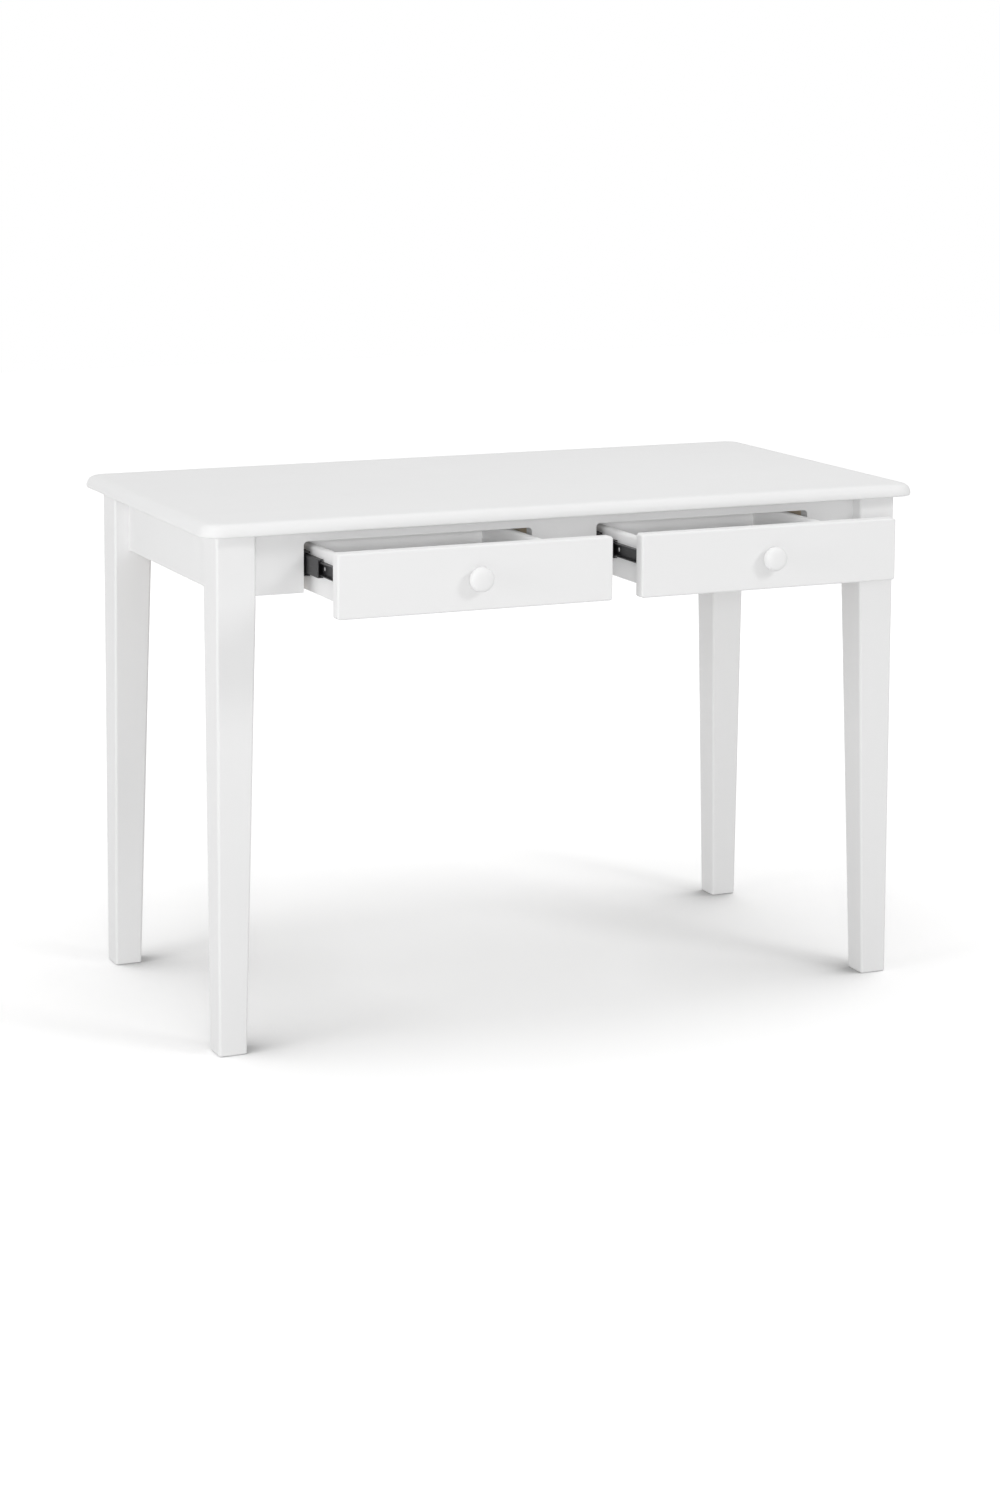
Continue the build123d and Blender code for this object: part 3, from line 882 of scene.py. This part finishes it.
@dataclass(frozen=True)
class PhotoCamera:
    """The camera of the photograph, solved from the desk's own edges.

    Angles are in degrees. The axis row is where the lens points in the photograph's own rows,
    and what it lacks to the middle row is the lens shift.
    """

    place: Point = (-1.9536, -4.3125, 1.4243)
    yaw: float = 23.979
    pitch: float = 7.007
    roll: float = 0.252
    focal_pixels: float = 3176.6
    image_height: float = 1500.0
    axis_row: float = 435.0
    sensor_width: float = 36.0

    def build(self) -> bpy.types.Object:
        """Makes the camera the scene's own.

        Returns:
            The camera object.
        """
        data = bpy.data.cameras.new("photo_camera")
        data.sensor_width = self.sensor_width
        data.lens = self.focal_pixels / self.image_height * data.sensor_width
        data.shift_y = (self.axis_row - self.image_height / 2) / self.image_height
        data.dof.use_dof = False
        camera = bpy.data.objects.new("photo_camera", data)
        bpy.context.scene.collection.objects.link(camera)
        yaw, pitch, roll = (math.radians(a) for a in (self.yaw, self.pitch, self.roll))
        level = Vector((math.sin(yaw), math.cos(yaw), 0.0))
        ahead = level * math.cos(pitch) - Vector((0.0, 0.0, math.sin(pitch)))
        right = Vector((math.cos(yaw), -math.sin(yaw), 0.0))
        up = right.cross(ahead)
        across = right * math.cos(roll) + up * math.sin(roll)
        above = up * math.cos(roll) - right * math.sin(roll)
        turn = Matrix((across, above, -ahead)).transposed()
        camera.matrix_world = Matrix.Translation(self.place) @ turn.to_4x4()
        bpy.context.scene.camera = camera
        LOG.info("camera lens %.1f mm, shift %.3f", data.lens, data.shift_y)
        return camera


@dataclass(frozen=True)
class Lamp:
    """One soft rectangular lamp, which may be kept to a few nodes."""

    name: str
    place: Point
    aim: Point
    size: tuple[float, float]
    watts: float
    only_on: tuple[str, ...] = ()

    def build(self) -> bpy.types.Object:
        """Adds the lamp to the scene.

        Returns:
            The lamp object.
        """
        data = bpy.data.lights.new(self.name, "AREA")
        data.shape = "RECTANGLE"
        data.size, data.size_y = self.size
        data.energy = self.watts
        lamp = bpy.data.objects.new(self.name, data)
        bpy.context.scene.collection.objects.link(lamp)
        lamp.location = self.place
        lamp.rotation_euler = (Vector(self.aim) - Vector(self.place)).to_track_quat("-Z", "Y").to_euler()
        if self.only_on:
            chosen = bpy.data.collections.new(f"lit_by_{self.name}")
            for node in self.only_on:
                chosen.objects.link(frame["nodes"][node])
            lamp.light_linking.receiver_collection = chosen
        return lamp


# The boards that show through the narrow gap above a half-open drawer
DRAWER_INSIDES = tuple(f"{name}_drawer_{board}" for name in ("left", "right")
                       for board in ("rear", "bottom", "side_right"))


@dataclass(frozen=True)
class Studio:
    """A white floor that keeps the desk's shadow, a plain sky and soft lamps.

    The camera sees the floor with an added white, which grows over a near and a far band of
    distance from the desk's middle, counted in the desk's own reach. The smaller white near the
    desk is painted shade under and around it.
    """

    floor_half: float = 9.0
    floor_drop: float = 0.2 * MM
    floor_colour: Point = (0.80, 0.80, 0.80)
    floor_rough: float = 0.9
    floor_specular: float = 0.1
    grit_scale: float = 60.0
    grit_tone: float = 0.99
    desk_middle: Point = (0.0, 0.0915, 0.0)
    desk_reach: Point = (0.62, 0.44, 1.0)
    # painted shade: the near white is smallest under the desk, so the floor is darker there
    near_white: tuple[float, float] = (0.29, 0.45)
    near_band: tuple[float, float] = (0.7, 1.7)
    far_white: float = 0.25
    far_band: tuple[float, float] = (2.0, 5.5)
    foot_shade: float = 0.72
    foot_shade_reach: float = 0.35
    foot_shade_band: tuple[float, float] = (0.55, 1.0)
    outside_rise: float = 0.30
    sky: float = 0.50
    lamps: tuple[Lamp, ...] = (
        Lamp("overhead", place=(0.0, 0.0, 3.2), aim=(0.0, 0.1, 0.0), size=(3.0, 2.4), watts=22.0),
        Lamp("front_right", place=(2.2, -3.2, 2.9), aim=(0.0, 0.0, 0.6), size=(1.0, 1.0), watts=33.0),
        Lamp("front_eye", place=(-1.96, -4.5, 1.42), aim=(0.0, 0.0, 0.6), size=(0.6, 0.5), watts=51.0),
        Lamp("left_low", place=(-4.2, -0.8, 1.2), aim=(0.0, 0.1, 0.5), size=(1.6, 1.2), watts=40.0),
        Lamp("drawer_fill", place=(-1.96, -4.5, 1.42), aim=(0.0, 0.0, 0.6), size=(0.6, 0.5), watts=72.0,
             only_on=DRAWER_INSIDES),
    )

    @staticmethod
    def seen_directly(sheet: NodeSheet) -> bpy.types.NodeSocket:
        """A mask of the rays on which the white surroundings show.

        Args:
            sheet: The nodes of a material or the world.

        Returns:
            The mask: camera, glossy and transmission rays.
        """
        path = sheet.add("ShaderNodeLightPath")
        some = sheet.math("MAXIMUM", path.outputs["Is Camera Ray"], path.outputs["Is Glossy Ray"])
        return sheet.math("MAXIMUM", some, path.outputs["Is Transmission Ray"])

    def free_of_feet(self, sheet: NodeSheet, where: bpy.types.NodeSocket) -> bpy.types.NodeSocket:
        """How free a place on the floor is of a foot between it and the light from outside.

        Args:
            sheet: The floor's nodes.
            where: Coordinates on the floor, from the desk's middle.

        Returns:
            A share: one in the open, less on the inner side of each foot.
        """
        outward = sheet.vector("NORMALIZE", where)
        raised = sheet.vector("ADD", outward, (0.0, 0.0, self.outside_rise))
        closeness = sheet.add("ShaderNodeAmbientOcclusion", samples=16)
        closeness.inputs["Distance"].default_value = self.foot_shade_reach
        sheet.link(sheet.vector("NORMALIZE", raised), closeness.inputs["Normal"])
        return sheet.spread(closeness.outputs["AO"], 0.0, 1.0, *self.foot_shade_band)

    def floor_white(self) -> bpy.types.Material:
        """The floor's white, lifted where it is seen, with painted shade under the desk and beside the
        feet.

        Returns:
            The floor's material.
        """
        material = bpy.data.materials.new("floor_white")
        material.use_nodes = True
        sheet = NodeSheet(material.node_tree)
        shader = material.node_tree.nodes["Principled BSDF"]
        where = sheet.add("ShaderNodeTexCoord").outputs["Object"]
        free = self.free_of_feet(sheet, where)
        grit = sheet.noise(where, self.grit_scale, detail=2.0)
        low = tuple(c * self.grit_tone for c in self.floor_colour)
        shaded = tuple(c * self.foot_shade for c in self.floor_colour)
        plain = sheet.blend(grit, low, self.floor_colour)
        sheet.link(sheet.blend(free, shaded, plain), shader.inputs["Base Color"])
        shader.inputs["Roughness"].default_value = self.floor_rough
        shader.inputs["Specular IOR Level"].default_value = self.floor_specular
        shader.inputs["Emission Color"].default_value = (1.0, 1.0, 1.0, 1.0)
        away = sheet.vector("LENGTH", sheet.vector("DIVIDE", where, self.desk_reach), result="Value")
        # painted shade: less white near the desk's middle darkens the floor under the desk
        near = sheet.spread(away, *self.near_white, *self.near_band)
        far = sheet.spread(away, 0.0, self.far_white, *self.far_band)
        white = sheet.math("MULTIPLY", sheet.math("ADD", near, far), free)
        lift = sheet.math("MULTIPLY", self.seen_directly(sheet), white)
        sheet.link(lift, shader.inputs["Emission Strength"])
        return material

    def build_floor(self) -> bpy.types.Object:
        """The floor under the desk's middle, a hair below the feet.

        Returns:
            The floor object.
        """
        half = self.floor_half
        mesh = bpy.data.meshes.new("floor")
        corners = [(-half, -half, 0.0), (half, -half, 0.0), (half, half, 0.0), (-half, half, 0.0)]
        mesh.from_pydata(corners, [], [(0, 1, 2, 3)])
        mesh.materials.append(self.floor_white())
        floor = bpy.data.objects.new("floor", mesh)
        floor.location = self.desk_middle
        floor.location.z = -self.floor_drop
        bpy.context.scene.collection.objects.link(floor)
        return floor

    def build_sky(self) -> None:
        """The world: white where it is seen, a plain level where it lights."""
        world = bpy.data.worlds.new("studio_sky")
        world.use_nodes = True
        bpy.context.scene.world = world
        sheet = NodeSheet(world.node_tree)
        ground = world.node_tree.nodes["Background"]
        ground.inputs["Color"].default_value = (1.0, 1.0, 1.0, 1.0)
        level = sheet.spread(self.seen_directly(sheet), self.sky, 1.0)
        sheet.link(level, ground.inputs["Strength"])

    def build(self) -> None:
        """Makes the floor, the sky and the lamps."""
        self.build_floor()
        self.build_sky()
        for lamp in self.lamps:
            lamp.build()
        LOG.info("studio with %d lamps", len(self.lamps))


# The desk


@dataclass(frozen=True)
class Carcase:
    """The top, legs, aprons and what joins them."""

    corners: tuple[str, ...] = ("front_left", "front_right", "rear_left", "rear_right")

    def dress(self) -> None:
        """Gives the fixed pieces their finishes."""
        dress("table_top", LACQUER[Grain.X])
        dress("front_apron", LACQUER[Grain.X])
        dress("rear_apron", LACQUER[Grain.X])
        for side in ("left", "right"):
            dress(f"side_apron_{side}", LACQUER[Grain.Y])
        for corner in self.corners:
            dress(f"leg_{corner}", LACQUER[Grain.Z])
            dress(f"corner_block_{corner}", TIMBER[Grain.Z])
        dress("apron_dowels", TIMBER[Grain.X])
        for metal in ("hanger_bolts", "bolt_washers", "bolt_nuts", "top_brackets"):
            dress(metal, ZINC)

    def build(self) -> None:
        """Makes the recessed screws of the fixed pieces."""
        for screws in ("bracket_screws", "slide_rail_screws"):
            dress(screws, ZINC)
            ScrewSet(screws, ZINC).build()


@dataclass(frozen=True)
class Drawer:
    """One drawer with its slides and the rails that carry it."""

    name: str

    def dress(self) -> None:
        """Gives the drawer, its slides and its rails their finishes."""
        dress(f"{self.name}_drawer_front", LACQUER[Grain.X])
        dress(f"{self.name}_knob", LACQUER[Grain.Y])
        for board in ("box_front", "rear", "bottom"):
            dress(f"{self.name}_drawer_{board}", BOX_PAINT[Grain.X])
        for hand in ("left", "right"):
            dress(f"{self.name}_drawer_side_{hand}", BOX_PAINT[Grain.Y])
            dress(f"{self.name}_drawer_rail_{hand}", TIMBER[Grain.Y])
            for member in ("cabinet", "middle", "drawer"):
                dress(f"{self.name}_slide_{member}_{hand}", SLIDE_STEEL)
        for strip in ("outer", "inner"):
            dress(f"{self.name}_slide_{strip}_retainers", RETAINER)

    def build(self) -> None:
        """Makes the drawer's recessed screws."""
        for screws in ("slide_drawer_screws", "front_screws", "knob_screw"):
            dress(f"{self.name}_{screws}", ZINC)
            ScrewSet(f"{self.name}_{screws}", ZINC).build()


def main() -> None:
    """Builds the whole picture."""
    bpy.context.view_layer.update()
    for assembly in (Carcase(), Drawer("left"), Drawer("right")):
        assembly.dress()
        assembly.build()
    PhotoCamera().build()
    Studio().build()
    bpy.context.scene.view_settings.view_transform = "Standard"


if __name__ == "__main__":
    main()
